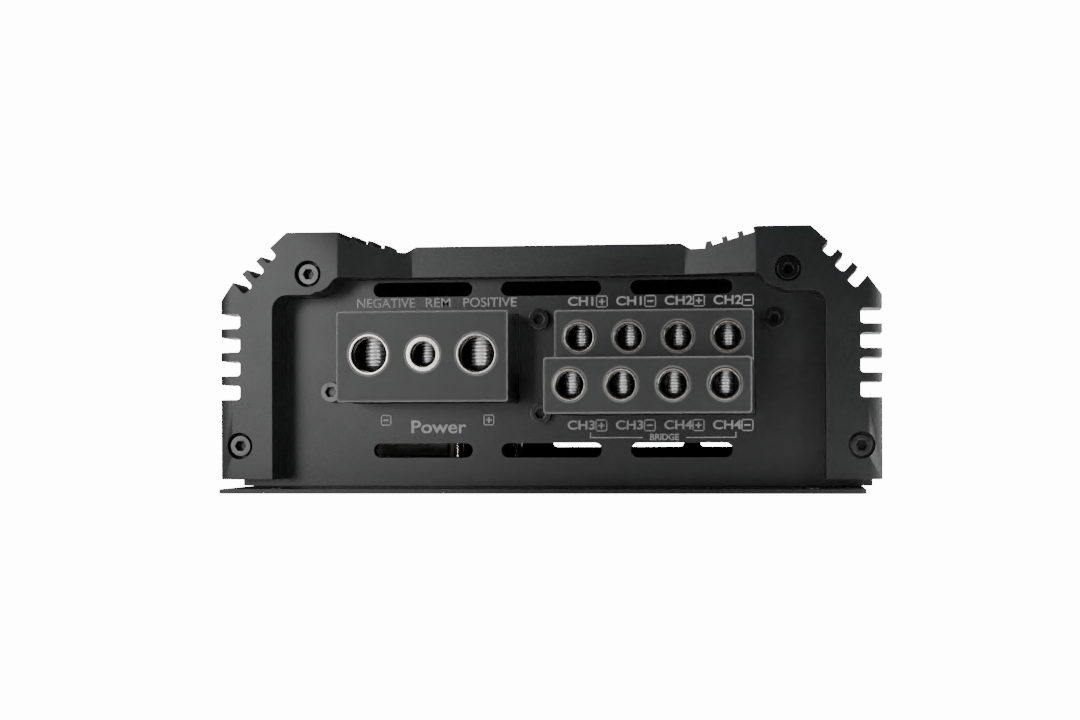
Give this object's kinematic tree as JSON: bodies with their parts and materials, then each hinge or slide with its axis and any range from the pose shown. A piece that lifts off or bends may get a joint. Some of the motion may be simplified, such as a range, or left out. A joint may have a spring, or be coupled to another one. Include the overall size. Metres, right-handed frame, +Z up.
{
  "type": "car amplifier",
  "caption": "Car amplifier with a ribbed heatsink body, faceted end bezels, recessed cable terminals at one end and signal jacks and controls at the other.",
  "frame": {"origin": "centre of the base plate's underside", "axes": "+Z up, -Y towards the cable terminals, +X towards the speaker terminals"},
  "size_m": [0.175, 0.2731, 0.0686],
  "materials": {
    "powder_coat": "fine textured powder coat",
    "black_screw": "black oxide, satin",
    "block_plastic": "satin moulded",
    "nickel": "bright nickel plate",
    "steel_screw": "zinc plated",
    "board_green": "solder mask",
    "ferrite": "matte",
    "iron_powder": "enamel",
    "copper_wire": "enamelled copper",
    "capacitor_sleeve": "shrink sleeve",
    "black_plastic": "moulded",
    "thermal_silicone": "matte",
    "bare_aluminium": "mill finish",
    "white_plastic": "moulded",
    "control_blue": "moulded",
    "knob_plastic": "moulded",
    "light_lens": "clear tinted"
  },
  "bodies": {
    "chassis": {"heatsink": "powder_coat", "front_bezel": "powder_coat", "rear_bezel": "powder_coat", "front_panel": "powder_coat", "rear_panel": "powder_coat", "base_plate": "powder_coat", "front_bezel_screws": "black_screw", "rear_bezel_screws": "black_screw", "base_screws": "black_screw", "panel_screws": "black_screw", "power_terminal_block": "block_plastic", "power_sleeves": "nickel", "speaker_terminal_block": "block_plastic", "speaker_sleeves_upper": "nickel", "speaker_sleeves_lower": "nickel", "terminal_pins": "nickel", "circuit_board": "board_green", "board_spacers": "nickel", "board_screws": "nickel", "transformer_core": "ferrite", "transformer_winding": "copper_wire", "inductor_cores": "iron_powder", "inductor_windings": "copper_wire", "supply_capacitors": "capacitor_sleeve", "rail_capacitors": "capacitor_sleeve", "power_transistors": "black_plastic", "thermal_pads": "thermal_silicone", "clamp_bars": "bare_aluminium", "clamp_bar_screws": "nickel", "driver_board": "board_green", "driver_header": "black_plastic", "control_chips": "black_plastic", "rca_housing": "black_plastic", "rca_shells": "nickel", "rca_insulators": "white_plastic", "potentiometers": "control_blue", "switch_housings": "bare_aluminium", "status_lights": "light_lens"},
    "negative_clamp_screw_body": {"negative_clamp_screw": "steel_screw"},
    "remote_clamp_screw_body": {"remote_clamp_screw": "steel_screw"},
    "positive_clamp_screw_body": {"positive_clamp_screw": "steel_screw"},
    "upper_clamp_screw_1_body": {"upper_clamp_screw_1": "steel_screw"},
    "upper_clamp_screw_2_body": {"upper_clamp_screw_2": "steel_screw"},
    "upper_clamp_screw_3_body": {"upper_clamp_screw_3": "steel_screw"},
    "upper_clamp_screw_4_body": {"upper_clamp_screw_4": "steel_screw"},
    "lower_clamp_screw_1_body": {"lower_clamp_screw_1": "steel_screw"},
    "lower_clamp_screw_2_body": {"lower_clamp_screw_2": "steel_screw"},
    "lower_clamp_screw_3_body": {"lower_clamp_screw_3": "steel_screw"},
    "lower_clamp_screw_4_body": {"lower_clamp_screw_4": "steel_screw"},
    "gain_knob_front_body": {"gain_knob_front": "knob_plastic"},
    "gain_knob_rear_body": {"gain_knob_rear": "knob_plastic"},
    "high_pass_knob_body": {"high_pass_knob": "knob_plastic"},
    "low_pass_knob_body": {"low_pass_knob": "knob_plastic"},
    "crossover_slider_front_body": {"crossover_slider_front": "black_plastic"},
    "crossover_slider_rear_body": {"crossover_slider_rear": "black_plastic"}
  },
  "joints": [
    {"name": "negative_clamp", "type": "slide", "parent": "chassis", "child": "negative_clamp_screw_body", "axis": [0, 0, 1], "range_m": [0, 0.0088]},
    {"name": "remote_clamp", "type": "slide", "parent": "chassis", "child": "remote_clamp_screw_body", "axis": [0, 0, 1], "range_m": [0, 0.0061]},
    {"name": "positive_clamp", "type": "slide", "parent": "chassis", "child": "positive_clamp_screw_body", "axis": [0, 0, 1], "range_m": [0, 0.0088]},
    {"name": "upper_clamp_1", "type": "slide", "parent": "chassis", "child": "upper_clamp_screw_1_body", "axis": [0, 0, 1], "range_m": [0, 0.0064]},
    {"name": "upper_clamp_2", "type": "slide", "parent": "chassis", "child": "upper_clamp_screw_2_body", "axis": [0, 0, 1], "range_m": [0, 0.0064]},
    {"name": "upper_clamp_3", "type": "slide", "parent": "chassis", "child": "upper_clamp_screw_3_body", "axis": [0, 0, 1], "range_m": [0, 0.0064]},
    {"name": "upper_clamp_4", "type": "slide", "parent": "chassis", "child": "upper_clamp_screw_4_body", "axis": [0, 0, 1], "range_m": [0, 0.0064]},
    {"name": "lower_clamp_1", "type": "slide", "parent": "chassis", "child": "lower_clamp_screw_1_body", "axis": [0, 0, 1], "range_m": [0, 0.0064]},
    {"name": "lower_clamp_2", "type": "slide", "parent": "chassis", "child": "lower_clamp_screw_2_body", "axis": [0, 0, 1], "range_m": [0, 0.0064]},
    {"name": "lower_clamp_3", "type": "slide", "parent": "chassis", "child": "lower_clamp_screw_3_body", "axis": [0, 0, 1], "range_m": [0, 0.0064]},
    {"name": "lower_clamp_4", "type": "slide", "parent": "chassis", "child": "lower_clamp_screw_4_body", "axis": [0, 0, 1], "range_m": [0, 0.0064]},
    {"name": "gain_knob_front_turn", "type": "hinge", "parent": "chassis", "child": "gain_knob_front_body", "pos_m": [-0.052, 0.116, 0.038], "axis": [0, 1, 0], "range_deg": [-150, 150]},
    {"name": "gain_knob_rear_turn", "type": "hinge", "parent": "chassis", "child": "gain_knob_rear_body", "pos_m": [-0.037, 0.116, 0.038], "axis": [0, 1, 0], "range_deg": [-150, 150]},
    {"name": "high_pass_knob_turn", "type": "hinge", "parent": "chassis", "child": "high_pass_knob_body", "pos_m": [-0.022, 0.116, 0.038], "axis": [0, 1, 0], "range_deg": [-150, 150]},
    {"name": "low_pass_knob_turn", "type": "hinge", "parent": "chassis", "child": "low_pass_knob_body", "pos_m": [-0.007, 0.116, 0.038], "axis": [0, 1, 0], "range_deg": [-150, 150]},
    {"name": "crossover_slider_front_slide", "type": "slide", "parent": "chassis", "child": "crossover_slider_front_body", "axis": [1, 0, 0], "range_m": [-0.002, 0.002]},
    {"name": "crossover_slider_rear_slide", "type": "slide", "parent": "chassis", "child": "crossover_slider_rear_body", "axis": [1, 0, 0], "range_m": [-0.002, 0.002]}
  ]
}
